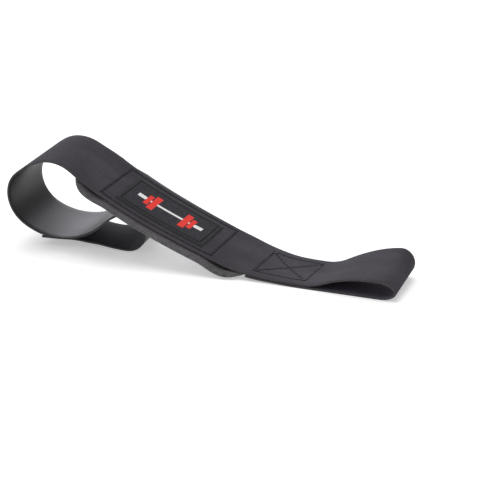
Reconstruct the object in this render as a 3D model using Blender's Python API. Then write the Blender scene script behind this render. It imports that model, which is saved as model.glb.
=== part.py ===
"""A weightlifting strap lying open on a table.

One band is folded over and sewn at its right end to make the hand loop. From the seam it climbs to the left,
turns down in a wide loop for the wrist, rests on its own free end, turns once more in a small loop and ends flat
on the table. A soft wrist pad lies under the climbing stretch, and a woven label lies on top of it.

Metres, +Z up. +X runs along the band towards the hand loop and +Y across it towards its far edge. The origin is
on the table, under the middle of the whole part.
"""

from collections import namedtuple
from math import cos, pi, radians, sin

import bmesh
import bpy
import numpy as np

# Band. Its length runs from its free end to the stitch line that closes the hand loop.
BAND_LENGTH = 0.460
BAND_WIDTH = 0.050
BAND_THICKNESS = 0.0014
# Seam of the hand loop: the box of stitches, and the cut end that shows past it
SEAM_LENGTH = 0.036
SEAM_MARGIN = 0.0025
# Hand loop: the band from the seam up to the fold, and how much its far side stands taller and reaches shorter
LOOP_RISE = 0.0533
FAR_SIDE_HEIGHT_RATIO = 1.31
FAR_SIDE_REACH_RATIO = 0.98
# Wrist pad under the band, and the clear band between it and the cut end
PAD_LENGTH = 0.134
PAD_WIDTH = 0.060
PAD_THICKNESS = 0.0022
PAD_CORNER = 0.013
PAD_CLEARANCE = 0.0025
# Sag of the pad between its seam and each end, the share of its length that sags there, and how far it drifts
# towards the far side from its right end to its left one
PAD_SAG = 0.0018
PAD_SAG_SHARE = 0.24
PAD_DRIFT = 0.0015
# Woven label on the band, and how far its middle lies past the pad's middle, away from the hand loop
LABEL_LENGTH = 0.070
LABEL_WIDTH = 0.035
LABEL_THICKNESS = 0.0007
LABEL_CORNER = 0.001
LABEL_SHIFT = 0.002
# Clear space between layers that lie on each other
LAYER_GAP = 0.0003

BAND_STEPS = 200
LOOP_STEPS = 84
CORNER_STEPS = 5
PATCH_STEP = 0.004
SHARP_ANGLE = radians(40)

Bend = namedtuple("Bend", "name share curl twist")

# The band from the seam to its free end. Shares of BAND_LENGTH; curl in degrees, up is positive; twist in degrees,
# far edge up is positive.
BAND_BENDS = (
    Bend("seam", 0.043, 4.5, 0),
    Bend("neck", 0.070, 14, 6),
    Bend("under the label", 0.1325, 5, 2),
    Bend("climb", 0.120, 10, 0.5),
    Bend("rise", 0.030, -2.5, -3),
    Bend("crest", 0.060, -56, 4.5),
    Bend("shoulder", 0.0455, -16.5, -1),
    Bend("left side", 0.0975, -101.5, 12.5),
    Bend("bottom", 0.061, -37, 2.5),
    Bend("ramp", 0.0735, -40.5, 5),
    Bend("hump", 0.023, 19, -2),
    Bend("small loop", 0.1075, 213, -7.5),
    Bend("landing", 0.021, -11, -1),
    Bend("foot", 0.017, 3, -4),
    Bend("tail rise", 0.034, 9, 0.5),
    Bend("tail bend", 0.0315, -11, 3),
    Bend("free end", 0.033, 1.5, 0),
)

# The hand loop from the seam's upper layer round to its lower one: shares of LOOP_RISE, then of the fold. After the
# fold it runs back level on the table.
RISE_BENDS = (
    Bend("rise", 0.28, 25.5, 0),
    Bend("slope", 0.37, -11.5, 0),
    Bend("brow", 0.35, -12.5, 0),
)
FOLD_BENDS = (
    Bend("top of the nose", 0.38, -55, 0),
    Bend("tip of the nose", 0.26, -79.5, 0),
    Bend("heel", 0.36, -47, 0),
)
# Shares of LOOP_RISE from which the search for the fold's length and the level run's length starts
FOLD_GUESS = 0.6
RUN_GUESS = 0.8
# Each bend runs into the next over this share of the length on either side, taken as the mean of so many places
EASE = 0.010
EASE_PLACES = 9

COLOURS = {
    "strap": ((0.052, 0.050, 0.054), 0.55),
    "wrist_pad": ((0.016, 0.015, 0.016), 0.95),
    "label": ((0.020, 0.020, 0.022), 0.80),
}

UP = np.array((0.0, 0.0, 1.0))
ACROSS = np.array((0.0, 1.0, 0.0))
RIGHT = np.array((1.0, 0.0, 0.0))


def clear_scene():
    for thing in list(bpy.data.objects):
        bpy.data.objects.remove(thing, do_unlink=True)


def eased_turns(lengths, degrees, steps):
    """The turn of each of the steps, in radians, for sections of these lengths and turns."""
    ends = np.concatenate([[0.0], np.cumsum(lengths)])
    turned = np.radians(np.concatenate([[0.0], np.cumsum(degrees)]))
    places = np.linspace(0.0, ends[-1], steps + 1)
    shifts = np.linspace(-1, 1, EASE_PLACES) * EASE * ends[-1]
    eased = np.mean([np.interp(places + shift, ends, turned) for shift in shifts], axis=0)
    eased[0] = turned[0]
    eased[-1] = turned[-1]
    return np.diff(eased)


def rotated(first, second, angle):
    """Two square vectors after a turn of the first towards the second."""
    return cos(angle) * first + sin(angle) * second, cos(angle) * second - sin(angle) * first


def walk(along, lengths, bends, steps):
    """Middles, across vectors, up vectors and headings of the band at each step from the seam's upper layer."""
    curls = eased_turns(lengths, [bend.curl for bend in bends], steps)
    twists = eased_turns(lengths, [bend.twist for bend in bends], steps)
    stride = sum(lengths) / steps
    middle = UP * (BAND_THICKNESS * 1.5 + LAYER_GAP)
    heading = along
    across = ACROSS
    up = UP
    rungs = [(middle, across, up, heading)]
    for curl, twist in zip(curls, twists):
        heading, up = rotated(heading, up, curl / 2)
        middle = middle + stride * heading
        heading, up = rotated(heading, up, curl / 2)
        across, up = rotated(across, up, twist)
        rungs.append((middle, across, up, heading))
    return [np.array(column) for column in zip(*rungs)]


def solved(misfit, guess, nudge=1e-5, rounds=12):
    """The values near the guess that leave no misfit, by Newton's method."""
    values = np.array(guess, float)
    for _ in range(rounds):
        miss = misfit(values)
        slopes = [(misfit(values + nudge * axis) - miss) / nudge for axis in np.eye(len(values))]
        values = values - np.linalg.solve(np.column_stack(slopes), miss)
    return values


def named_place(name):
    """Index of the band's rung in the middle of a section."""
    names = [bend.name for bend in BAND_BENDS]
    shares = [bend.share for bend in BAND_BENDS]
    at = names.index(name)
    return round((sum(shares[:at]) + shares[at] / 2) / sum(shares) * BAND_STEPS)


def with_corrections(corrections):
    """The band's bends, with four of them changed by these degrees."""
    lean, ramp, landing, level = corrections
    changes = {"neck": (lean, 0), "ramp": (ramp, level), "landing": (landing, 0)}
    bends = []
    for bend in BAND_BENDS:
        curl, twist = changes.get(bend.name, (0, 0))
        bends.append(bend._replace(curl=bend.curl + curl, twist=bend.twist + twist))
    return bends


def band_walk(corrections):
    """The band from the seam to its free end."""
    lengths = [bend.share * BAND_LENGTH for bend in BAND_BENDS]
    return walk(-RIGHT, lengths, with_corrections(corrections), BAND_STEPS)


def band_misfit(corrections):
    """How far the band is from touching the table, and the wide loop from resting on a free end that lies level."""
    middles, acrosses, _, headings = band_walk(corrections)
    foot = named_place("foot")
    bottom = slice(named_place("left side"), named_place("ramp"))
    tail = slice(foot, None)
    lying = slice(named_place("small loop"), None)
    spaces = []
    heights = []
    for side in (-0.5, 0.5):
        edge = middles + side * BAND_WIDTH * acrosses
        under = np.interp(-edge[bottom, 0], -edge[tail, 0], edge[tail, 2])
        spaces.append((edge[bottom, 2] - under).min())
        heights.append(edge[lying, 2].min())
    return np.array((
        (min(heights) - BAND_THICKNESS / 2) / BAND_WIDTH,
        (min(spaces) - BAND_THICKNESS - LAYER_GAP) / BAND_WIDTH,
        headings[foot, 2],
        acrosses[foot, 2],
    ))


def band_path():
    """Middles, across vectors and up vectors of the band as it comes to rest."""
    middles, acrosses, ups, _ = band_walk(solved(band_misfit, (0, 0, 0, 0), nudge=1e-3))
    return middles, acrosses, ups


def hand_loop_walk(lengths):
    """The hand loop's middles for these lengths of its fold and of the run that lies on the table."""
    fold, run = lengths
    rise_parts = [bend.share * LOOP_RISE for bend in RISE_BENDS]
    fold_parts = [bend.share * fold for bend in FOLD_BENDS]
    bends = RISE_BENDS + FOLD_BENDS + (Bend("run", 1, 0, 0),)
    return walk(RIGHT, rise_parts + fold_parts + [run], bends, LOOP_STEPS)[0]


def hand_loop_edges():
    """Near and far edge of the hand loop, from the seam's upper layer round to its lower one."""
    bottom = BAND_THICKNESS / 2

    def misfit(lengths):
        end = hand_loop_walk(lengths)[-1]
        return np.array((end[0], end[2] - bottom)) / LOOP_RISE

    middles = hand_loop_walk(solved(misfit, (FOLD_GUESS * LOOP_RISE, RUN_GUESS * LOOP_RISE)))
    reach = middles[:, 0].max()
    away = np.clip(middles[:, 0] / reach, 0, 1)
    edges = []
    for side in (-1, 1):
        taller = 1 + side * (FAR_SIDE_HEIGHT_RATIO - 1) * away
        longer = 1 + side * (FAR_SIDE_REACH_RATIO - 1) * away
        edge = middles + side * BAND_WIDTH / 2 * ACROSS
        edge[:, 0] = middles[:, 0] * longer
        edge[:, 2] = bottom + (middles[:, 2] - bottom) * taller
        edges.append(edge)
    return edges


def edge_normals(edge, across):
    """Normals of the band's outer side along one edge."""
    normals = np.cross(np.gradient(edge, axis=0), across)
    return normals / np.linalg.norm(normals, axis=1)[:, None]


def sections_solid(name, corners):
    """A closed solid through four-cornered sections, given as an array of section, corner and coordinate."""
    mesh = bmesh.new()
    rings = [[mesh.verts.new(point) for point in section] for section in corners]
    for first, second in zip(rings, rings[1:]):
        for here in range(4):
            after = (here + 1) % 4
            mesh.faces.new((first[here], first[after], second[after], second[here]))
    mesh.faces.new(rings[0])
    mesh.faces.new(rings[-1])
    bmesh.ops.recalc_face_normals(mesh, faces=mesh.faces)
    data = bpy.data.meshes.new(name)
    mesh.to_mesh(data)
    mesh.free()
    data.shade_smooth()
    data.set_sharp_from_angle(angle=SHARP_ANGLE)
    thing = bpy.data.objects.new(name, data)
    bpy.context.scene.collection.objects.link(thing)
    data.materials.append(plain_material(name, *COLOURS[name]))
    return thing


def plain_material(name, colour, roughness):
    material = bpy.data.materials.new(name)
    material.use_nodes = True
    shader = material.node_tree.nodes["Principled BSDF"]
    shader.inputs["Base Color"].default_value = (*colour, 1)
    shader.inputs["Roughness"].default_value = roughness
    shader.inputs["Metallic"].default_value = 0
    return material


def band_solid(path):
    """The strap: free end, wide loop, seam's upper layer, hand loop and the seam's lower layer, as one band."""
    middles, acrosses, _ = path
    edges = []
    for side, loop_edge in zip((-0.5, 0.5), hand_loop_edges()):
        band_edge = middles + side * BAND_WIDTH * acrosses
        sewn = round((SEAM_LENGTH + SEAM_MARGIN) / BAND_LENGTH * BAND_STEPS)
        seam_normals = edge_normals(band_edge[: sewn + 2], -acrosses[: sewn + 2])
        under = band_edge[: sewn + 2] - (BAND_THICKNESS + LAYER_GAP) * seam_normals
        edges.append(np.concatenate([band_edge[::-1], loop_edge[1:-1], under[: sewn + 1]]))
    near, far = edges
    across = far - near
    near_normals = edge_normals(near, across)
    far_normals = edge_normals(far, across)
    half = BAND_THICKNESS / 2
    corners = np.stack([
        near + half * near_normals,
        far + half * far_normals,
        far - half * far_normals,
        near - half * near_normals,
    ], axis=1)
    return sections_solid("strap", corners)


def patch_stations(length, corner):
    """Places along a patch with round corners, and how far its sides stand in there."""
    turns = [pi / 2 * step / CORNER_STEPS for step in range(CORNER_STEPS + 1)]
    places = [corner * (1 - cos(turn)) for turn in turns]
    insets = [corner * (1 - sin(turn)) for turn in turns]
    count = max(2, round((length - 2 * corner) / PATCH_STEP))
    straight = np.linspace(corner, length - corner, count + 1)[1:-1]
    whole = places + list(straight) + [length - place for place in reversed(places)]
    return np.array(whole), np.array(insets + [0.0] * len(straight) + insets[::-1])


def patch_solid(name, path, start, size, corner, distances, drift=0.0):
    """A flat piece that follows the band, from distances to its lower and to its upper face."""
    length, width = size
    places, insets = patch_stations(length, corner)
    along = np.linspace(0, BAND_LENGTH, BAND_STEPS + 1)
    at = []
    for column in path:
        at.append(np.stack([np.interp(start + places, along, axis) for axis in column.T], axis=1))
    middles, acrosses, ups = at
    middles = middles + (drift * places / length)[:, None] * acrosses
    lower, upper = distances(places / length)
    half = (width / 2 - insets)[:, None]
    corners = np.stack([
        middles - half * acrosses + upper[:, None] * ups,
        middles + half * acrosses + upper[:, None] * ups,
        middles + half * acrosses + lower[:, None] * ups,
        middles - half * acrosses + lower[:, None] * ups,
    ], axis=1)
    return sections_solid(name, corners)


def wrist_pad(path):
    """Soft pad under the band. It is sewn down along its middle, and its free ends sag a little."""

    def distances(share):
        from_end = np.minimum(share, 1 - share)
        waves = np.sin(pi * from_end / PAD_SAG_SHARE) ** 2
        sag = PAD_SAG * np.where(from_end < PAD_SAG_SHARE, waves, 0)
        upper = -BAND_THICKNESS / 2 - LAYER_GAP - sag
        return upper - PAD_THICKNESS, upper

    start = SEAM_LENGTH + SEAM_MARGIN + PAD_CLEARANCE
    return patch_solid("wrist_pad", path, start, (PAD_LENGTH, PAD_WIDTH), PAD_CORNER, distances, PAD_DRIFT)


def label(path):
    """Woven label on top of the band, over the pad."""

    def distances(share):
        lower = np.full(len(share), BAND_THICKNESS / 2 + LAYER_GAP)
        return lower, lower + LABEL_THICKNESS

    pad_middle = SEAM_LENGTH + SEAM_MARGIN + PAD_CLEARANCE + PAD_LENGTH / 2
    start = pad_middle + LABEL_SHIFT - LABEL_LENGTH / 2
    return patch_solid("label", path, start, (LABEL_LENGTH, LABEL_WIDTH), LABEL_CORNER, distances)


def centre_on_origin(things):
    """Moves all the meshes so that the middle of their common box stands over the origin."""
    points = np.array([vertex.co for thing in things for vertex in thing.data.vertices])
    middle = (points.min(axis=0) + points.max(axis=0)) / 2
    for thing in things:
        for vertex in thing.data.vertices:
            vertex.co.x -= middle[0]
            vertex.co.y -= middle[1]


def main():
    clear_scene()
    path = band_path()
    centre_on_origin([band_solid(path), wrist_pad(path), label(path)])


if __name__ == "__main__":
    main()
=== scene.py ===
"""A weightlifting strap lying open on a pale floor: its band, wrist pad, woven label and seams.

Every soft piece is modelled flat at its cut size, unwrapped as it lies there, and then laid along the band,
which is walked section by section from the seam of the hand loop. Metres, +Z up.
"""

from collections import namedtuple
from math import cos, pi, radians, sin

import bmesh
import bpy
import numpy as np
from mathutils import Matrix, Vector


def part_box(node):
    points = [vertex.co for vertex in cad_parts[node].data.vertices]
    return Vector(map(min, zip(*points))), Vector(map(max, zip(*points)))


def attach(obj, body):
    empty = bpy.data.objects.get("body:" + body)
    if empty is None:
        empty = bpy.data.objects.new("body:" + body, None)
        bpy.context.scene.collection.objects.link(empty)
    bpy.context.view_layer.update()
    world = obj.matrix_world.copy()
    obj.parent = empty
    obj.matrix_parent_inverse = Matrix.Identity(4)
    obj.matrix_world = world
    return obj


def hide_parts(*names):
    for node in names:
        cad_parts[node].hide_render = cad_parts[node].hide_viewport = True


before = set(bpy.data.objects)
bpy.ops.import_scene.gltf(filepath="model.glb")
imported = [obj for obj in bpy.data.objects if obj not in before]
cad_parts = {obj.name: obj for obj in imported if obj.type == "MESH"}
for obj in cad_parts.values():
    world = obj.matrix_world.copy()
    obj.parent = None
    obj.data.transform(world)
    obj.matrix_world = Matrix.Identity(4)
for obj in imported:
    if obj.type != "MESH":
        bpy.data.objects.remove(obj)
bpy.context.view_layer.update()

bl_info = {
    "name": "Lifting strap",
    "version": (1, 0, 0),
    "blender": (4, 5, 0),
    "location": "View3D > Sidebar > Strap",
    "description": "Builds an open lifting strap with its pad, label and seams",
    "category": "Object",
}

# The lie of the band, as the solids have it
BAND_LENGTH = 0.460
BAND_WIDTH = 0.050
BAND_THICKNESS = 0.0014
SEAM_LENGTH = 0.036
SEAM_MARGIN = 0.0025
LOOP_RISE = 0.0533
FAR_SIDE_HEIGHT_RATIO = 1.31
FAR_SIDE_REACH_RATIO = 0.98
PAD_LENGTH = 0.134
PAD_WIDTH = 0.060
PAD_THICKNESS = 0.0022
PAD_CORNER = 0.013
PAD_CLEARANCE = 0.0025
PAD_SAG = 0.0018
PAD_SAG_SHARE = 0.24
PAD_DRIFT = 0.0015
LABEL_LENGTH = 0.070
LABEL_WIDTH = 0.035
LABEL_THICKNESS = 0.0007
LABEL_CORNER = 0.001
LABEL_SHIFT = 0.002
LAYER_GAP = 0.0003
BAND_STEPS = 200
LOOP_STEPS = 84
FOLD_GUESS = 0.6
RUN_GUESS = 0.8
EASE = 0.010
EASE_PLACES = 9

Bend = namedtuple("Bend", "name share curl twist")
BAND_BENDS = (
    Bend("seam", 0.043, 4.5, 0),
    Bend("neck", 0.070, 14, 6),
    Bend("under the label", 0.1325, 5, 2),
    Bend("climb", 0.120, 10, 0.5),
    Bend("rise", 0.030, -2.5, -3),
    Bend("crest", 0.060, -56, 4.5),
    Bend("shoulder", 0.0455, -16.5, -1),
    Bend("left side", 0.0975, -101.5, 12.5),
    Bend("bottom", 0.061, -37, 2.5),
    Bend("ramp", 0.0735, -40.5, 5),
    Bend("hump", 0.023, 19, -2),
    Bend("small loop", 0.1075, 213, -7.5),
    Bend("landing", 0.021, -11, -1),
    Bend("foot", 0.017, 3, -4),
    Bend("tail rise", 0.034, 9, 0.5),
    Bend("tail bend", 0.0315, -11, 3),
    Bend("free end", 0.033, 1.5, 0),
)
RISE_BENDS = (
    Bend("rise", 0.28, 25.5, 0),
    Bend("slope", 0.37, -11.5, 0),
    Bend("brow", 0.35, -12.5, 0),
)
FOLD_BENDS = (
    Bend("top of the nose", 0.38, -55, 0),
    Bend("tip of the nose", 0.26, -79.5, 0),
    Bend("heel", 0.36, -47, 0),
)

UP = np.array((0.0, 0.0, 1.0))
ACROSS = np.array((0.0, 1.0, 0.0))
RIGHT = np.array((1.0, 0.0, 0.0))

# Places along the band, from the seam of the hand loop towards the free end
PAD_START = SEAM_LENGTH + SEAM_MARGIN + PAD_CLEARANCE
LABEL_MIDDLE = PAD_START + PAD_LENGTH / 2 + LABEL_SHIFT

# Seams on the band: the box round the label and the crossed box at the hand loop
LABEL_BOX = (0.087, 0.042)
CROSS_BOX = (0.036, 0.036)

# The photo's camera: height over the floor, turn to the band, distance, focal length in picture widths, and
# the point it looks at from the middle of the part
CAMERA_TILT = 17.769
CAMERA_TURN = 23.478
CAMERA_DISTANCE = 1.3000
CAMERA_FOCUS = 1302.85 / 480
CAMERA_SHIFT = (0.21758, -0.37804, 0.11361)
SENSOR_MM = 36

# The pale floor with its own glow, the light of the room, and the lamps
FLOOR_SIZE = 60.0
FLOOR_GREY = (0.75, 0.75, 0.75, 1)
FLOOR_GLOW = 0.4
ROOM_LIGHT = 0.5
Lamp = namedtuple("Lamp", "name place size power colour")
LAMPS = (
    Lamp("back", (-0.8, 1.85, 0.80), 1.4, 21, (0.94, 0.92, 1.0)),
    Lamp("top", (-0.3, 0.1, 1.9), 1.6, 22, (1, 1, 1)),
)
LAMP_AIM = (0, 0, 0.02)

# How finely the flat pieces and their round corners are divided
BAND_CELLS = (440, 12)
PAD_CELL = 0.0025
LABEL_CELL = 0.0020
CORNER_POINTS = 13
# A face of the flat band with a normal steeper than this is one of its two sides
FLAT = 0.9

# How steeply the pad droops past the band's near and far edge
PAD_DROOP = (0.15, 0.30)
# How far the label's seam pinches the pad beside it, and by what share of the pad's thickness
QUILT_WIDTH = 0.0022
QUILT_DEPTH = 0.35
# How far a thread round the pad's rim starts and ends beside its middle
THREAD_SLANT = 0.0004
# How far in from its rim the label is pressed down, by what share of its thickness, and where it is stitched
LABEL_PRESSED = 0.0016
LABEL_PRESS = 0.5
LABEL_SEAM_INSET = 0.0015

# The leather beside its seams: from where to where its painted shadow and its dip fade out, and how deep it
# dips
SEAM_PAINTED_SHADOW = (0.0004, 0.0013)
SEAM_DIP = (0.0003, 0.0020)
SEAM_DEPTH = 0.00012
# Where the leather begins to be lighter and where it is so fully, in from a cut edge
LIGHTER_EDGE = (0.0009, 0.0002)
# Where the lining turns from the polished, darker one of the wrist loop to the dull one of the hand loop,
# which is painted lighter as painted light, as places on the flat band that grow towards the hand loop
LINING_CHANGE = (-0.04, 0.0)
# Changes of shade along the sewing thread, to the metre
THREAD_TWIST = 1800

# The label's threads to the metre, the end of its border and the groove there, in from the label's rim
WEAVE_COUNT = 2400
BORDER_END = (0.0031, 0.0035)
GROOVE = 0.0034
GROOVE_WIDTH = (0.0002, 0.0006)
# Near black painted into the groove: painted shade
GROOVE_PAINTED_SHADE = (0.002, 0.002, 0.002)
# The label's sign: middle, half length and half width of each bar, which stands on both sides of the middle
LIGHT_BARS = ((0, 0.0225, 0.0012), (0.0225, 0.0030, 0.0018))
RED_BARS = ((0.0125, 0.0021, 0.0088), (0.0173, 0.0017, 0.0060))


def eased_turns(lengths, degrees, steps):
    """The turn of each of the steps, in radians, for sections of these lengths and turns."""
    ends = np.concatenate([[0.0], np.cumsum(lengths)])
    turned = np.radians(np.concatenate([[0.0], np.cumsum(degrees)]))
    places = np.linspace(0.0, ends[-1], steps + 1)
    shifts = np.linspace(-1, 1, EASE_PLACES) * EASE * ends[-1]
    eased = np.mean([np.interp(places + shift, ends, turned) for shift in shifts], axis=0)
    eased[0] = turned[0]
    eased[-1] = turned[-1]
    return np.diff(eased)


def rotated(first, second, angle):
    """Two square vectors after a turn of the first towards the second."""
    return cos(angle) * first + sin(angle) * second, cos(angle) * second - sin(angle) * first


def walk(along, lengths, bends, steps):
    """Middles, across vectors and headings of the band at each step from the seam's upper layer."""
    curls = eased_turns(lengths, [bend.curl for bend in bends], steps)
    twists = eased_turns(lengths, [bend.twist for bend in bends], steps)
    stride = sum(lengths) / steps
    middle = UP * (BAND_THICKNESS * 1.5 + LAYER_GAP)
    heading = along
    across = ACROSS
    up = UP
    rungs = [(middle, across, heading)]
    for curl, twist in zip(curls, twists):
        heading, up = rotated(heading, up, curl / 2)
        middle = middle + stride * heading
        heading, up = rotated(heading, up, curl / 2)
        across, up = rotated(across, up, twist)
        rungs.append((middle, across, heading))
    return [np.array(column) for column in zip(*rungs)]


def solved(misfit, guess, nudge=1e-5, rounds=12):
    """The values near the guess that leave no misfit, by Newton's method."""
    values = np.array(guess, float)
    for _ in range(rounds):
        miss = misfit(values)
        slopes = [(misfit(values + nudge * axis) - miss) / nudge for axis in np.eye(len(values))]
        values = values - np.linalg.solve(np.column_stack(slopes), miss)
    return values


def named_place(name):
    """Index of the band's rung in the middle of a section."""
    names = [bend.name for bend in BAND_BENDS]
    shares = [bend.share for bend in BAND_BENDS]
    at = names.index(name)
    return round((sum(shares[:at]) + shares[at] / 2) / sum(shares) * BAND_STEPS)


def band_walk(corrections):
    """The band from the seam to its free end, with four of its bends changed by these degrees."""
    lean, ramp, landing, level = corrections
    changes = {"neck": (lean, 0), "ramp": (ramp, level), "landing": (landing, 0)}
    bends = []
    for bend in BAND_BENDS:
        curl, twist = changes.get(bend.name, (0, 0))
        bends.append(bend._replace(curl=bend.curl + curl, twist=bend.twist + twist))
    return walk(-RIGHT, [bend.share * BAND_LENGTH for bend in bends], bends, BAND_STEPS)


def band_misfit(corrections):
    """How far the band is from touching the table, and the wide loop from resting on a level free end."""
    middles, acrosses, headings = band_walk(corrections)
    foot = named_place("foot")
    bottom = slice(named_place("left side"), named_place("ramp"))
    tail = slice(foot, None)
    lying = slice(named_place("small loop"), None)
    spaces = []
    heights = []
    for side in (-0.5, 0.5):
        edge = middles + side * BAND_WIDTH * acrosses
        under = np.interp(-edge[bottom, 0], -edge[tail, 0], edge[tail, 2])
        spaces.append((edge[bottom, 2] - under).min())
        heights.append(edge[lying, 2].min())
    return np.array((
        (min(heights) - BAND_THICKNESS / 2) / BAND_WIDTH,
        (min(spaces) - BAND_THICKNESS - LAYER_GAP) / BAND_WIDTH,
        headings[foot, 2],
        acrosses[foot, 2],
    ))


def hand_loop_walk(lengths):
    """The hand loop's middles for these lengths of its fold and of the run that lies on the table."""
    fold, run = lengths
    rise_parts = [bend.share * LOOP_RISE for bend in RISE_BENDS]
    fold_parts = [bend.share * fold for bend in FOLD_BENDS]
    bends = RISE_BENDS + FOLD_BENDS + (Bend("run", 1, 0, 0),)
    return walk(RIGHT, rise_parts + fold_parts + [run], bends, LOOP_STEPS)[0]


def hand_loop_edges():
    """Near and far edge of the hand loop, from the seam's upper layer round to its lower one."""
    bottom = BAND_THICKNESS / 2

    def misfit(lengths):
        end = hand_loop_walk(lengths)[-1]
        return np.array((end[0], end[2] - bottom)) / LOOP_RISE

    middles = hand_loop_walk(solved(misfit, (FOLD_GUESS * LOOP_RISE, RUN_GUESS * LOOP_RISE)))
    away = np.clip(middles[:, 0] / middles[:, 0].max(), 0, 1)
    edges = []
    for side in (-1, 1):
        taller = 1 + side * (FAR_SIDE_HEIGHT_RATIO - 1) * away
        longer = 1 + side * (FAR_SIDE_REACH_RATIO - 1) * away
        edge = middles + side * BAND_WIDTH / 2 * ACROSS
        edge[:, 0] = middles[:, 0] * longer
        edge[:, 2] = bottom + (middles[:, 2] - bottom) * taller
        edges.append(edge)
    return edges


def turned_side(edge, across):
    """Normals of the band's outer side along one edge."""
    normals = np.cross(np.gradient(edge, axis=0), across)
    return normals / np.linalg.norm(normals, axis=1)[:, None]


class Lie:
    """Where the band lies: a place for each distance from the seam, share of the width and height over it."""

    def __init__(self):
        middles, acrosses, _ = band_walk(solved(band_misfit, (0, 0, 0, 0), nudge=1e-3))
        sewn = round((SEAM_LENGTH + SEAM_MARGIN) / BAND_LENGTH * BAND_STEPS)
        edges = []
        for side, loop_edge in zip((-0.5, 0.5), hand_loop_edges()):
            band_edge = middles + side * BAND_WIDTH * acrosses
            normals = turned_side(band_edge[: sewn + 2], -acrosses[: sewn + 2])
            under = band_edge[: sewn + 2] - (BAND_THICKNESS + LAYER_GAP) * normals
            edges.append(np.concatenate([band_edge[::-1], loop_edge[1:-1], under[: sewn + 1]]))
        middle = (edges[0] + edges[1]) / 2
        strides = np.linalg.norm(np.diff(middle, axis=0), axis=1)
        self.places = np.concatenate([[0.0], np.cumsum(strides)])[::-1]
        self.places = self.places - self.places[len(middles) - 1]
        self.edges = edges
        self.cut_end = self.places[-1]
        self.free_end = self.places[0]
        self.shift = np.zeros(3)

    def edge(self, side, places):
        """Points and headings of one edge, on a smooth curve through its rungs."""
        knots = self.places[::-1]
        points = self.edges[side][::-1]
        slopes = np.gradient(points, knots, axis=0)
        at = np.clip(np.searchsorted(knots, places) - 1, 0, len(knots) - 2)
        span = (knots[at + 1] - knots[at])[:, None]
        part = (places[:, None] - knots[at][:, None]) / span
        first, second = points[at], points[at + 1]
        leave, arrive = slopes[at] * span, slopes[at + 1] * span
        square, cube = part ** 2, part ** 3
        point = (
            (2 * cube - 3 * square + 1) * first + (cube - 2 * square + part) * leave
            + (3 * square - 2 * cube) * second + (cube - square) * arrive
        )
        heading = (
            (6 * square - 6 * part) * (first - second) + (3 * square - 4 * part + 1) * leave
            + (3 * square - 2 * part) * arrive
        )
        return point, heading / span

    def points(self, flat):
        """Where flat points go: distance towards the hand loop from its seam, distance across, and height."""
        places = np.clip(-flat[:, 0], self.cut_end, self.free_end)
        near, near_heading = self.edge(0, places)
        far, far_heading = self.edge(1, places)
        share = (flat[:, 1] / BAND_WIDTH + 0.5)[:, None]
        normal = np.cross(far - near, near_heading + share * (far_heading - near_heading))
        normal = normal / np.linalg.norm(normal, axis=1)[:, None]
        return near + share * (far - near) + flat[:, 2:] * normal + self.shift


def settle():
    """Moves the lie over the origin, where the solids have it."""
    corners = [(-place, side * BAND_WIDTH / 2, face * BAND_THICKNESS / 2)
               for place in LIE.places for side in (-1, 1) for face in (-1, 1)]
    lowest = LIE.points(np.array(corners)).min(axis=0)
    LIE.shift = np.array(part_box("strap")[0]) - lowest
    LIE.shift[2] = 0.0


LIE = Lie()
settle()


def below_band(flat):
    """Where points of the pad go: its upper face lies under the band and sags a little before each end."""
    share = np.clip((-flat[:, 0] - PAD_START) / PAD_LENGTH, 0, 1)
    from_end = np.minimum(share, 1 - share)
    sag = PAD_SAG * np.where(from_end < PAD_SAG_SHARE, np.sin(pi * from_end / PAD_SAG_SHARE) ** 2, 0)
    placed = flat.copy()
    past_band = np.maximum(np.abs(flat[:, 1]) - BAND_WIDTH / 2, 0)
    droop = np.where(flat[:, 1] < 0, *PAD_DROOP) * past_band
    placed[:, 1] += PAD_DRIFT * share
    placed[:, 2] -= BAND_THICKNESS / 2 + LAYER_GAP + sag + droop
    return LIE.points(placed)


def vertex_places(piece):
    places = np.zeros(len(piece.data.vertices) * 3)
    piece.data.vertices.foreach_get("co", places)
    return places.reshape(-1, 3)


def move_vertices(piece, places):
    piece.data.vertices.foreach_set("co", places.ravel())
    piece.data.update()


def select_only(piece):
    bpy.ops.object.select_all(action="DESELECT")
    bpy.context.view_layer.objects.active = piece
    piece.select_set(True)


def sized(name, size, middle):
    """Names the sheet that was just added, gives it its size and place and leaves it in edit mode."""
    piece = bpy.context.object
    piece.name = name
    piece.data.name = name
    bpy.ops.object.mode_set(mode="EDIT")
    bpy.ops.transform.resize(value=(size[0], size[1], 1))
    bpy.ops.transform.translate(value=middle)
    return piece


def divide(size, middle, cell):
    """Bisects the open mesh into cells along both of its sides."""
    for axis in (0, 1):
        normal = [0, 0, 0]
        normal[axis] = 1
        count = round(size[axis] / cell)
        for cut in range(1, count):
            place = list(middle)
            place[axis] += (cut / count - 0.5) * size[axis]
            bpy.ops.mesh.select_all(action="SELECT")
            bpy.ops.mesh.bisect(plane_co=place, plane_no=normal)


def cut_piece(name, size, middle, corner, cell):
    """A flat piece as it is cut: a rectangle with round corners, divided into cells."""
    bpy.ops.object.select_all(action="DESELECT")
    bpy.ops.mesh.primitive_plane_add(size=1)
    piece = sized(name, size, middle)
    bpy.ops.mesh.bevel(offset=corner, segments=8, profile=0.5, affect="VERTICES")
    divide(size, middle, cell)
    bpy.ops.object.mode_set(mode="OBJECT")
    return piece


def thicken(piece, thickness, rim):
    """Gives a flat piece its thickness to both sides, and rounds its rim."""
    select_only(piece)
    solid = piece.modifiers.new("thickness", "SOLIDIFY")
    solid.thickness = thickness
    solid.offset = 0
    edge = piece.modifiers.new("rim", "BEVEL")
    edge.width = rim
    edge.segments = 3
    edge.limit_method = "ANGLE"
    edge.angle_limit = radians(60)
    for step in (solid, edge):
        bpy.ops.object.modifier_apply(modifier=step.name)


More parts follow.
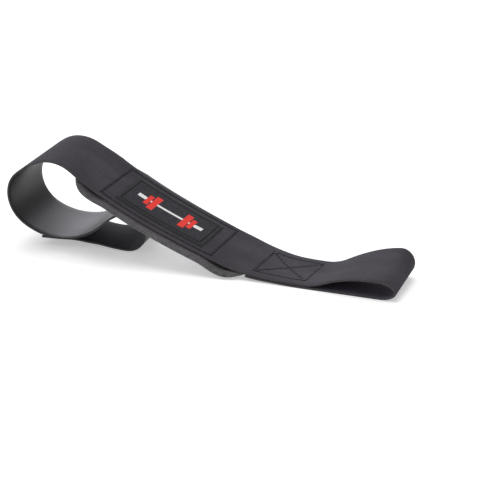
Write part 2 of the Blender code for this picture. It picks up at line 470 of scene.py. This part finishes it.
def keep_flat_places(piece):
    """Unwraps the piece as it lies flat, in metres, so that weave and grain keep their real scale."""
    layer = piece.data.uv_layers.get("flat") or piece.data.uv_layers.new(name="flat")
    piece.data.uv_layers.active = layer
    places = vertex_places(piece)
    at = np.zeros(len(piece.data.loops), int)
    piece.data.loops.foreach_get("vertex_index", at)
    layer.data.foreach_set("uv", places[at, :2].ravel())


def finish_piece(piece, lay, materials, replaced=()):
    """Lays the piece where it belongs, smooths it, gives it its materials and hangs it on the body."""
    if "flat" not in piece.data.uv_layers:
        keep_flat_places(piece)
    while len(piece.data.uv_layers) > 1:
        others = [layer for layer in piece.data.uv_layers if layer.name != "flat"]
        piece.data.uv_layers.remove(others[0])
    move_vertices(piece, lay(vertex_places(piece)))
    piece.data.materials.clear()
    for material in materials:
        piece.data.materials.append(material)
    select_only(piece)
    bpy.ops.object.shade_smooth_by_angle(angle=radians(50))
    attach(piece, "root")
    if replaced:
        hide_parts(*replaced)


def copies(name, model, spots):
    """One mesh of copies of a small model, each turned flat by an angle and put at its spot.

    The model itself is removed.
    """
    mesh = bmesh.new()
    for place, angle in spots:
        data = model.data.copy()
        data.transform(Matrix.Translation(Vector(place)) @ Matrix.Rotation(angle, 4, "Z"))
        mesh.from_mesh(data)
        bpy.data.meshes.remove(data)
    data = bpy.data.meshes.new(name)
    mesh.to_mesh(data)
    mesh.free()
    bpy.data.objects.remove(model)
    piece = bpy.data.objects.new(name, data)
    bpy.context.scene.collection.objects.link(piece)
    return piece


def thread_stitch(length, width):
    """One stitch: a plump thread that dips into the cloth at both ends."""
    bpy.ops.object.select_all(action="DESELECT")
    bpy.ops.mesh.primitive_uv_sphere_add(segments=8, ring_count=6, radius=0.5)
    piece = bpy.context.object
    bpy.ops.object.mode_set(mode="EDIT")
    bpy.ops.transform.rotate(value=pi / 2, orient_axis="Y", center_override=(0, 0, 0))
    bpy.ops.transform.resize(value=(length, width, width * 0.8))
    bpy.ops.object.mode_set(mode="OBJECT")
    return piece


def line_spots(first, second, height, pitch):
    """Spots of the stitches on a straight line between two flat points."""
    span = np.array(second) - np.array(first)
    count = max(1, round(np.linalg.norm(span) / pitch))
    angle = np.arctan2(span[1], span[0])
    spots = []
    for step in range(count):
        x, y = np.array(first) + (step + 0.5) / count * span
        spots.append(((x, y, height), angle))
    return spots


def box_spots(middle, size, height, pitch):
    """Spots of the stitches round a box."""
    x, y = middle
    sides = ((-1, -1), (1, -1), (1, 1), (-1, 1))
    corners = [(x + side_x * size[0] / 2, y + side_y * size[1] / 2) for side_x, side_y in sides]
    spots = []
    for first, second in zip(corners, corners[1:] + corners[:1]):
        spots += line_spots(first, second, height, pitch)
    return spots


def outline_spots(middle, size, corner, pitch):
    """Spots along the outline of a rectangle with round corners, and the angle of the outward normal."""
    x, y = middle
    half_x, half_y = size[0] / 2 - corner, size[1] / 2 - corner
    points = []
    for quarter, (side_x, side_y) in enumerate(((1, 1), (-1, 1), (-1, -1), (1, -1))):
        for turn in np.linspace(quarter * pi / 2, (quarter + 1) * pi / 2, CORNER_POINTS):
            spot = (x + side_x * half_x + corner * cos(turn), y + side_y * half_y + corner * sin(turn))
            points.append((*spot, turn))
    points.append((*points[0][:2], 2 * pi))
    points = np.array(points)
    strides = np.linalg.norm(np.diff(points[:, :2], axis=0), axis=1)
    along = np.concatenate([[0.0], np.cumsum(strides)])
    at = np.linspace(0, along[-1], round(along[-1] / pitch) + 1)[:-1]
    return [np.interp(at, along, points[:, axis]) for axis in (0, 1, 2)]


class Number:
    """A value that varies over a surface. Sums and products of it are Math nodes."""

    def __init__(self, finish, socket):
        self.finish = finish
        self.socket = socket

    def math(self, operation, *others):
        """A Math node on this value and the others."""
        values = dict(enumerate((self, *others)))
        return self.finish.node("ShaderNodeMath", {"operation": operation}, values)

    def __add__(self, other):
        return self.math("ADD", other)

    __radd__ = __add__

    def __sub__(self, other):
        return self.math("SUBTRACT", other)

    def __rsub__(self, other):
        return self.finish.node("ShaderNodeMath", {"operation": "SUBTRACT"}, {0: other, 1: self})

    def __mul__(self, other):
        return self.math("MULTIPLY", other)

    __rmul__ = __mul__

    def __abs__(self):
        return self.math("ABSOLUTE")


class Finish:
    """One material: what is even over the surface is set at once, and nodes add what varies."""

    def __init__(self, name, roughness, sheen=0.0, specular=0.5):
        self.material = bpy.data.materials.new(name)
        self.material.use_nodes = True
        self.tree = self.material.node_tree
        self.shader = self.tree.nodes["Principled BSDF"]
        self.shader.inputs["Roughness"].default_value = roughness
        self.shader.inputs["Specular IOR Level"].default_value = specular
        self.shader.inputs["Sheen Weight"].default_value = sheen
        self.shader.inputs["Sheen Roughness"].default_value = 0.4
        self.flat = self.node("ShaderNodeUVMap", {"uv_map": "flat"})
        self.along = self.node("ShaderNodeSeparateXYZ", {}, {0: self.flat}, 0)
        self.across = self.node("ShaderNodeSeparateXYZ", {}, {0: self.flat}, 1)

    def node(self, kind, settings=None, values=None, output=0):
        """Adds a node with its settings and the values or links of its sockets. Gives one of its outputs."""
        made = self.tree.nodes.new(kind)
        for name, setting in (settings or {}).items():
            setattr(made, name, setting)
        for name, value in (values or {}).items():
            if isinstance(value, Number):
                self.tree.links.new(value.socket, made.inputs[name])
            else:
                made.inputs[name].default_value = value
        return Number(self, made.outputs[output])

    def noise(self, scale, detail=2.0, rough=0.5, stretch=(1, 1, 1)):
        """Noise over the flat piece, with this many waves to the metre."""
        place = self.node("ShaderNodeMapping", {}, {"Vector": self.flat, "Scale": stretch})
        values = {"Vector": place, "Scale": scale, "Detail": detail, "Roughness": rough}
        return self.node("ShaderNodeTexNoise", {}, values)

    def cells(self, scale):
        """Distance to the nearest of scattered points, with this many to the metre."""
        return self.node("ShaderNodeTexVoronoi", {}, {"Vector": self.flat, "Scale": scale})

    def step(self, value, low, high, first=0.0, last=1.0):
        """A smooth step: the first value up to low, the last one from high on."""
        values = {"Value": value, "From Min": low, "From Max": high, "To Min": first, "To Max": last}
        return self.node("ShaderNodeMapRange", {"interpolation_type": "SMOOTHSTEP"}, values)

    def mix(self, share, first, second):
        """A colour between two colours."""
        values = {0: share}
        for socket, value in ((6, first), (7, second)):
            values[socket] = value if isinstance(value, Number) else (*value, 1.0)
        return self.node("ShaderNodeMix", {"data_type": "RGBA"}, values, 2)

    def wave(self, value, waves):
        """A sine of this many waves to the metre, from -1 to 1."""
        return (value * (2 * pi * waves)).math("SINE")

    def box_line(self, middle, size):
        """Distance from the outline of a box on the flat piece."""
        from_x = abs(self.along - middle[0]) - size[0] / 2
        from_y = abs(self.across - middle[1]) - size[1] / 2
        return abs(from_x.math("MAXIMUM", from_y))

    def colour(self, value):
        self.plug("Base Color", value)

    def plug(self, name, value):
        self.tree.links.new(value.socket, self.shader.inputs[name])

    def relief(self, *layers):
        """Bumps of these heights: each layer is a value and its height in metres."""
        normal = None
        for value, height in layers:
            values = {"Strength": 1.0, "Distance": height, "Height": value}
            if normal is not None:
                values["Normal"] = normal
            normal = self.node("ShaderNodeBump", {}, values)
        self.plug("Normal", normal)


def shaded(colour, share):
    """The colour made darker or, by a share over 1, lighter."""
    return [channel * share for channel in colour]


def seam_line(finish):
    """Distance of a point of the band from the nearest of its lines of stitches."""
    label_box = finish.box_line((-LABEL_MIDDLE, 0), LABEL_BOX)
    cross_box = finish.box_line((-CROSS_BOX[0] / 2, 0), CROSS_BOX)
    from_x = abs(finish.along + CROSS_BOX[0] / 2)
    from_y = abs(finish.across)
    inside = from_x.math("MAXIMUM", from_y).math("LESS_THAN", CROSS_BOX[0] / 2)
    diagonals = abs(from_x - from_y) * cos(pi / 4) + (1 - inside)
    return label_box.math("MINIMUM", cross_box).math("MINIMUM", diagonals)


def leather(name, colour, roughness, specular, grain_height, with_seams):
    """Matt imitation leather: pebbled grain and soft clouds of colour.

    The outer side dips along its seams and is painted darker beside them, as painted shadow. The lining
    turns dull in the hand loop and is painted lighter there, as painted light.
    """
    finish = Finish(name, roughness, specular=specular)
    clouds = finish.noise(22, detail=3, rough=0.55)
    fine = finish.noise(1500, detail=4, rough=0.65)
    pebbles = finish.cells(1100)
    streaks = finish.noise(60, detail=3, rough=0.6, stretch=(0.25, 1, 1))
    dark = shaded(colour, 0.74)
    light = shaded(colour, 1.32)
    tone = finish.mix(finish.step(clouds * 0.6 + streaks * 0.4, 0.3, 0.7), dark, light)
    # Darker where the grain dips between its pebbles: painted shade in the hollows
    tone = finish.mix(finish.step(pebbles, 0.25, 0.75) * 0.5, tone, dark)
    rough = roughness - 0.13 + clouds * 0.16 + fine * 0.1
    layers = [(pebbles, -grain_height), (fine, grain_height * 0.6)]
    if with_seams:
        near = seam_line(finish)
        # Darker beside the lines of stitches: painted shadow of the thread and its groove
        tone = finish.mix(finish.step(near, *SEAM_PAINTED_SHADOW, first=0.75, last=0.0), tone, shaded(colour, 0.08))
        layers.append((finish.step(near, *SEAM_DIP, first=1.0, last=0.0), -SEAM_DEPTH))
    else:
        # In the hand loop the lining is made rougher and painted lighter: painted light
        dull_and_painted_light = finish.step(finish.along, *LINING_CHANGE)
        rough = rough + dull_and_painted_light * 0.5
        tone = finish.mix(dull_and_painted_light, tone, shaded(colour, 12))
    # The leather is lighter in a thin strip along its cut edges
    edge = finish.step(abs(finish.across), BAND_WIDTH / 2 - LIGHTER_EDGE[0], BAND_WIDTH / 2 - LIGHTER_EDGE[1])
    finish.colour(finish.mix(edge * 0.3, tone, shaded(colour, 1.9)))
    finish.plug("Roughness", rough)
    finish.relief(*layers)
    return finish.material


def cut_edge(colour):
    """The band's cut edge: pressed fibres, a little brown."""
    finish = Finish("cut_edge", 0.8, specular=0.3)
    fibres = finish.noise(900, detail=4, rough=0.7, stretch=(0.3, 1, 1))
    finish.colour(finish.mix(finish.step(fibres, 0.3, 0.7), shaded(colour, 0.6), colour))
    finish.relief((fibres, 0.0001))
    return finish.material


def brushed_cloth(colour):
    """The pad's brushed cloth: short fuzz with pressed spots."""
    finish = Finish("pad_cloth", 0.95, sheen=0.15, specular=0.1)
    fuzz = finish.noise(1300, detail=5, rough=0.75)
    tufts = finish.noise(260, detail=3, rough=0.6)
    pressed = finish.noise(45, detail=2, rough=0.5)
    shade = finish.step(fuzz * 0.6 + tufts * 0.25 + pressed * 0.15, 0.32, 0.68)
    finish.colour(finish.mix(shade, shaded(colour, 0.45), shaded(colour, 1.9)))
    finish.plug("Roughness", 0.85 + fuzz * 0.15)
    finish.relief((tufts, 0.0004), (fuzz, 0.00025))
    return finish.material


def thread(name, colour):
    """Twisted sewing thread. Its shades follow the place of a point on the piece, the node's fourth output."""
    finish = Finish(name, 0.6, specular=0.35)
    place = finish.node("ShaderNodeTexCoord", output=3)
    ply = finish.node("ShaderNodeTexNoise", {}, {"Vector": place, "Scale": THREAD_TWIST, "Detail": 2.0})
    finish.colour(finish.mix(finish.step(ply, 0.35, 0.65), shaded(colour, 0.55), shaded(colour, 1.3)))
    finish.relief((ply, 0.00008))
    return finish.material


def label_weave(palette):
    """The label's weave: a fine grid, a firmer border, and a small barbell woven in light and red thread."""
    finish = Finish("label_weave", 0.85, specular=0.12)
    x = finish.along + LABEL_MIDDLE
    y = finish.across
    grid = finish.wave(x, WEAVE_COUNT) * finish.wave(y, WEAVE_COUNT)
    thread_x = x.math("SNAP", 1 / WEAVE_COUNT)
    thread_y = y.math("SNAP", 1 / WEAVE_COUNT)
    from_rim = (LABEL_LENGTH / 2 - abs(x)).math("MINIMUM", LABEL_WIDTH / 2 - abs(y))
    border = finish.step(from_rim, *BORDER_END, first=1.0, last=0.0)
    groove = finish.step(abs(from_rim - GROOVE), *GROOVE_WIDTH, first=1.0, last=0.0)

    def woven(bars):
        """1 where the label shows one of these bars, 0 elsewhere."""
        inside = 0
        for middle_x, half_x, half_y in bars:
            out_x = abs(abs(thread_x) - middle_x) - half_x
            out_y = abs(thread_y) - half_y
            inside = out_x.math("MAXIMUM", out_y).math("LESS_THAN", 0.0) + inside
        return inside.math("MINIMUM", 1.0)

    speckle = finish.noise(420, detail=3, rough=0.6)
    # The ground and the border's ribs are darker where the weave dips between its threads, painted shade; the
    # ground is also darker at random
    ground = finish.mix(finish.step(speckle * 0.5 + grid * 0.35, 0.05, 0.55), palette.label_dark, palette.label)
    rib = finish.mix(finish.step(grid, -0.4, 0.6), palette.label_dark, palette.border)
    ground = finish.mix(border * 0.5, ground, rib)
    # The groove is painted near black: painted shade
    ground = finish.mix(groove * 0.9, ground, GROOVE_PAINTED_SHADE)
    tone = finish.mix(woven(LIGHT_BARS), ground, palette.sign)
    tone = finish.mix(woven(RED_BARS), tone, palette.plates)
    # Black where the weave dips between threads: painted shade
    tone = finish.mix(finish.step(grid, -1.0, 0.1, 0.35, 0.0), tone, (0.0, 0.0, 0.0))
    finish.colour(tone)
    finish.relief((grid, 0.00006), (groove, -0.00015), (border, 0.00004))
    return finish.material


def length_setting(name, description, default):
    return bpy.props.FloatProperty(name=name, description=description, default=default, unit="LENGTH")


class StrapSizes(bpy.types.PropertyGroup):
    """Sizes of the threads and rims."""

    band_rim: length_setting("Band rim", "How round the band's cut edges are", 0.00035)
    stitch_pitch: length_setting("Stitch pitch", "From one stitch of a seam to the next", 0.0042)
    stitch_width: length_setting("Stitch width", "Thickness of the seams' thread", 0.00085)
    rim_pitch: length_setting("Rim pitch", "From one thread round the pad's rim to the next", 0.0011)
    rim_reach: length_setting("Rim reach", "How far the rim's threads reach onto the pad", 0.0042)
    rim_thread: length_setting("Rim thread", "Thickness of the threads round the pad's rim", 0.00034)


def colour_setting(name, description, default):
    return bpy.props.FloatVectorProperty(
        name=name, description=description, default=default, subtype="COLOR", min=0, max=1)


class StrapColours(bpy.types.PropertyGroup):
    """Colours of the leather, cloth and threads."""

    band: colour_setting("Band", "The band's outer side", (0.0560, 0.0520, 0.0612))
    lining: colour_setting("Lining", "The band's inner side", (0.0075, 0.0066, 0.0092))
    cut_edge: colour_setting("Cut edge", "The band's cut edge", (0.0650, 0.0580, 0.0630))
    pad: colour_setting("Pad", "The pad's brushed cloth", (0.0800, 0.0765, 0.0810))
    rim: colour_setting("Pad rim", "Thread round the pad's rim", (0.160, 0.150, 0.156))
    seam: colour_setting("Seams", "Thread of the seams on the band", (0.0045, 0.0042, 0.0050))
    label: colour_setting("Label", "The label's ground", (0.0740, 0.0725, 0.0840))
    # The label's darker tone: at random over its ground and, as painted shade, in the depths of its weave
    label_dark: colour_setting("Label shade", "Depths of the label's weave", (0.0180, 0.0176, 0.0205))
    border: colour_setting("Label border", "The label's border", (0.0780, 0.0765, 0.0880))
    sign: colour_setting("Sign", "Light thread of the label's sign", (0.92, 0.91, 0.90))
    plates: colour_setting("Plates", "Red thread of the label's sign", (0.92, 0.060, 0.048))


def sizes():
    return bpy.context.scene.strap_sizes


def colours():
    return bpy.context.scene.strap_colours


class STRAP_OT_band(bpy.types.Operator):
    """Cut the band, sew its hand loop and lay it in its loops"""

    bl_idname = "strap.band"
    bl_label = "Band"

    def execute(self, context):
        length = LIE.free_end - LIE.cut_end
        bpy.ops.object.select_all(action="DESELECT")
        bpy.ops.mesh.primitive_grid_add(x_subdivisions=BAND_CELLS[0], y_subdivisions=BAND_CELLS[1], size=1)
        band = sized("band", (length, BAND_WIDTH), (length / 2 - LIE.free_end, 0, 0))
        bpy.ops.object.mode_set(mode="OBJECT")
        thicken(band, BAND_THICKNESS, sizes().band_rim)
        keep_flat_places(band)
        sides = [face.normal.z for face in band.data.polygons]
        outer = leather("outer_leather", colours().band, 0.80, 0.05, 0.00009, True)
        lining = leather("lining_leather", colours().lining, 0.46, 0.35, 0.00005, False)
        finish_piece(band, LIE.points, (outer, lining, cut_edge(colours().cut_edge)), ("strap",))
        for face, rise in zip(band.data.polygons, sides):
            face.material_index = 0 if rise > FLAT else 1 if rise < -FLAT else 2
        return {"FINISHED"}


class STRAP_OT_pad(bpy.types.Operator):
    """Cut the soft pad, quilt it along the label's seam and hang it under the band"""

    bl_idname = "strap.pad"
    bl_label = "Wrist pad"

    def execute(self, context):
        middle = (-PAD_START - PAD_LENGTH / 2, 0, 0)
        pad = cut_piece("pad", (PAD_LENGTH, PAD_WIDTH), middle, PAD_CORNER, PAD_CELL)
        thicken(pad, PAD_THICKNESS, PAD_THICKNESS * 0.4)
        keep_flat_places(pad)
        places = vertex_places(pad)
        from_x = np.abs(places[:, 0] + LABEL_MIDDLE) - LABEL_BOX[0] / 2
        from_y = np.abs(places[:, 1]) - LABEL_BOX[1] / 2
        from_seam = np.abs(np.maximum(from_x, from_y))
        pinch = np.exp(-(from_seam / QUILT_WIDTH) ** 2)
        places[:, 2] = places[:, 2] * (1 - QUILT_DEPTH * pinch) - PAD_THICKNESS / 2
        move_vertices(pad, places)
        cloth = brushed_cloth(colours().pad)
        finish_piece(pad, below_band, (cloth,), ("wrist_pad",))
        return {"FINISHED"}


class STRAP_OT_pad_rim(bpy.types.Operator):
    """Overlock the pad's rim: threads round its edge, held by a line of stitches on either side"""

    bl_idname = "strap.pad_rim"
    bl_label = "Pad rim"

    def execute(self, context):
        middle = (-PAD_START - PAD_LENGTH / 2, 0)
        size = (PAD_LENGTH, PAD_WIDTH)
        reach = sizes().rim_reach
        radius = sizes().rim_thread / 2
        half = PAD_THICKNESS / 2
        curve = bpy.data.curves.new("rim_thread", "CURVE")
        curve.dimensions = "3D"
        curve.bevel_depth = radius
        curve.bevel_resolution = 1
        curve.use_fill_caps = True
        spline = curve.splines.new("POLY")
        places = [(-reach, -THREAD_SLANT, half)]
        for turn in np.linspace(pi / 2, -pi / 2, 7):
            places.append((half * (cos(turn) - 0.9), THREAD_SLANT / 2 * sin(turn), half * sin(turn)))
        places.append((-reach, THREAD_SLANT, -half))
        spline.points.add(len(places) - 1)
        for point, place in zip(spline.points, places):
            point.co = (*place, 1)
        model = bpy.data.objects.new("rim_thread", curve)
        bpy.context.scene.collection.objects.link(model)
        select_only(model)
        bpy.ops.object.convert(target="MESH")
        spots = []
        for x, y, turn in zip(*outline_spots(middle, size, PAD_CORNER, sizes().rim_pitch)):
            spots.append(((x, y, -half), turn))
        rim = copies("pad_rim", bpy.context.object, spots)
        lines = []
        inner = (PAD_LENGTH - 2 * reach, PAD_WIDTH - 2 * reach)
        for height in (radius, -PAD_THICKNESS - radius):
            for x, y, turn in zip(*outline_spots(middle, inner, PAD_CORNER - reach, sizes().rim_pitch * 1.7)):
                lines.append(((x, y, height), turn + pi / 2))
        chain = copies("chain", thread_stitch(sizes().rim_pitch * 1.6, radius * 2.6), lines)
        select_only(rim)
        chain.select_set(True)
        bpy.ops.object.join()
        finish_piece(rim, below_band, (thread("rim_thread", colours().rim),))
        return {"FINISHED"}


class STRAP_OT_label(bpy.types.Operator):
    """Weave the label and lay it on the band over the pad"""

    bl_idname = "strap.label"
    bl_label = "Label"

    def execute(self, context):
        middle = (-LABEL_MIDDLE, 0, 0)
        label = cut_piece("woven_label", (LABEL_LENGTH, LABEL_WIDTH), middle, LABEL_CORNER, LABEL_CELL)
        thicken(label, LABEL_THICKNESS, LABEL_THICKNESS * 0.4)
        keep_flat_places(label)
        places = vertex_places(label)
        from_x = LABEL_LENGTH / 2 - np.abs(places[:, 0] + LABEL_MIDDLE)
        from_y = LABEL_WIDTH / 2 - np.abs(places[:, 1])
        pressed = np.exp(-(np.minimum(from_x, from_y) / LABEL_PRESSED) ** 2)
        places[:, 2] *= 1 - LABEL_PRESS * pressed
        places[:, 2] += (BAND_THICKNESS + LABEL_THICKNESS) / 2 + LAYER_GAP
        places[:, 2] -= (LAYER_GAP + LABEL_PRESS * LABEL_THICKNESS / 2) * pressed
        move_vertices(label, places)
        finish_piece(label, LIE.points, (label_weave(colours()),), ("label",))
        return {"FINISHED"}


class STRAP_OT_seams(bpy.types.Operator):
    """Sew the box round the label, the label's rim and the crossed box at the hand loop"""

    bl_idname = "strap.seams"
    bl_label = "Seams"

    def execute(self, context):
        top = BAND_THICKNESS / 2
        pitch = sizes().stitch_pitch
        spots = box_spots((-LABEL_MIDDLE, 0), LABEL_BOX, top, pitch)
        spots += box_spots((-CROSS_BOX[0] / 2, 0), CROSS_BOX, top, pitch)
        half = CROSS_BOX[1] / 2
        for side in (-1, 1):
            spots += line_spots((-CROSS_BOX[0], -side * half), (0, side * half), top, pitch)
        label_seam = (LABEL_LENGTH - 2 * LABEL_SEAM_INSET, LABEL_WIDTH - 2 * LABEL_SEAM_INSET)
        spots += box_spots((-LABEL_MIDDLE, 0), label_seam, top + LABEL_THICKNESS, pitch * 0.7)
        model = thread_stitch(pitch * 0.82, sizes().stitch_width)
        seams = copies("seams", model, spots)
        finish_piece(seams, LIE.points, (thread("seam_thread", colours().seam),))
        return {"FINISHED"}


def soft_light(lamp):
    """A large square light, turned to the strap."""
    light = bpy.data.lights.new(lamp.name, "AREA")
    light.size = lamp.size
    light.energy = lamp.power
    light.color = lamp.colour
    thing = bpy.data.objects.new(lamp.name, light)
    bpy.context.scene.collection.objects.link(thing)
    thing.location = lamp.place
    thing.rotation_euler = (Vector(LAMP_AIM) - Vector(lamp.place)).to_track_quat("-Z", "Y").to_euler()


class STRAP_OT_stage(bpy.types.Operator):
    """Lay the pale floor, light the strap softly and set the camera"""

    bl_idname = "strap.stage"
    bl_label = "Stage"

    def execute(self, context):
        bpy.ops.object.select_all(action="DESELECT")
        bpy.ops.mesh.primitive_plane_add(size=FLOOR_SIZE)
        floor = bpy.context.object
        floor.name = "floor"
        pale = bpy.data.materials.new("pale_floor")
        pale.use_nodes = True
        shader = pale.node_tree.nodes["Principled BSDF"]
        shader.inputs["Base Color"].default_value = FLOOR_GREY
        shader.inputs["Roughness"].default_value = 0.9
        shader.inputs["Specular IOR Level"].default_value = 0.1
        shader.inputs["Emission Color"].default_value = (1, 1, 1, 1)
        shader.inputs["Emission Strength"].default_value = FLOOR_GLOW
        floor.data.materials.append(pale)
        scene = context.scene
        scene.world = bpy.data.worlds.new("studio")
        scene.world.use_nodes = True
        background = scene.world.node_tree.nodes["Background"]
        background.inputs["Color"].default_value = (1.0, 1.0, 1.0, 1)
        background.inputs["Strength"].default_value = ROOM_LIGHT
        scene.view_settings.view_transform = "Standard"
        for lamp in LAMPS:
            soft_light(lamp)
        tilt = radians(CAMERA_TILT)
        turn = radians(CAMERA_TURN)
        camera = bpy.data.objects.new("camera", bpy.data.cameras.new("camera"))
        scene.collection.objects.link(camera)
        back = CAMERA_DISTANCE * cos(tilt)
        place = np.array((back * sin(turn), -back * cos(turn), CAMERA_DISTANCE * sin(tilt)))
        camera.location = place - np.array(CAMERA_SHIFT) + LIE.shift
        camera.rotation_euler = (pi / 2 - tilt, 0, turn)
        camera.data.sensor_width = SENSOR_MM
        camera.data.lens = CAMERA_FOCUS * SENSOR_MM
        camera.data.clip_start = 0.01
        scene.camera = camera
        return {"FINISHED"}


class STRAP_PT_panel(bpy.types.Panel):
    """The strap's pieces, sizes and colours"""

    bl_idname = "STRAP_PT_panel"
    bl_label = "Lifting strap"
    bl_space_type = "VIEW_3D"
    bl_region_type = "UI"
    bl_category = "Strap"

    def draw(self, context):
        for step in STEPS:
            self.layout.operator(step.bl_idname)
        for group in (sizes(), colours()):
            for name in group.__annotations__:
                self.layout.prop(group, name)


STEPS = (STRAP_OT_band, STRAP_OT_pad, STRAP_OT_pad_rim, STRAP_OT_label, STRAP_OT_seams, STRAP_OT_stage)
CLASSES = (StrapSizes, StrapColours, *STEPS, STRAP_PT_panel)


def register():
    for made in CLASSES:
        bpy.utils.register_class(made)
    bpy.types.Scene.strap_sizes = bpy.props.PointerProperty(type=StrapSizes)
    bpy.types.Scene.strap_colours = bpy.props.PointerProperty(type=StrapColours)


def unregister():
    del bpy.types.Scene.strap_colours
    del bpy.types.Scene.strap_sizes
    for made in reversed(CLASSES):
        bpy.utils.unregister_class(made)


def main():
    register()
    bpy.ops.strap.band()
    bpy.ops.strap.pad()
    bpy.ops.strap.pad_rim()
    bpy.ops.strap.label()
    bpy.ops.strap.seams()
    bpy.ops.strap.stage()


if __name__ == "__main__":
    main()
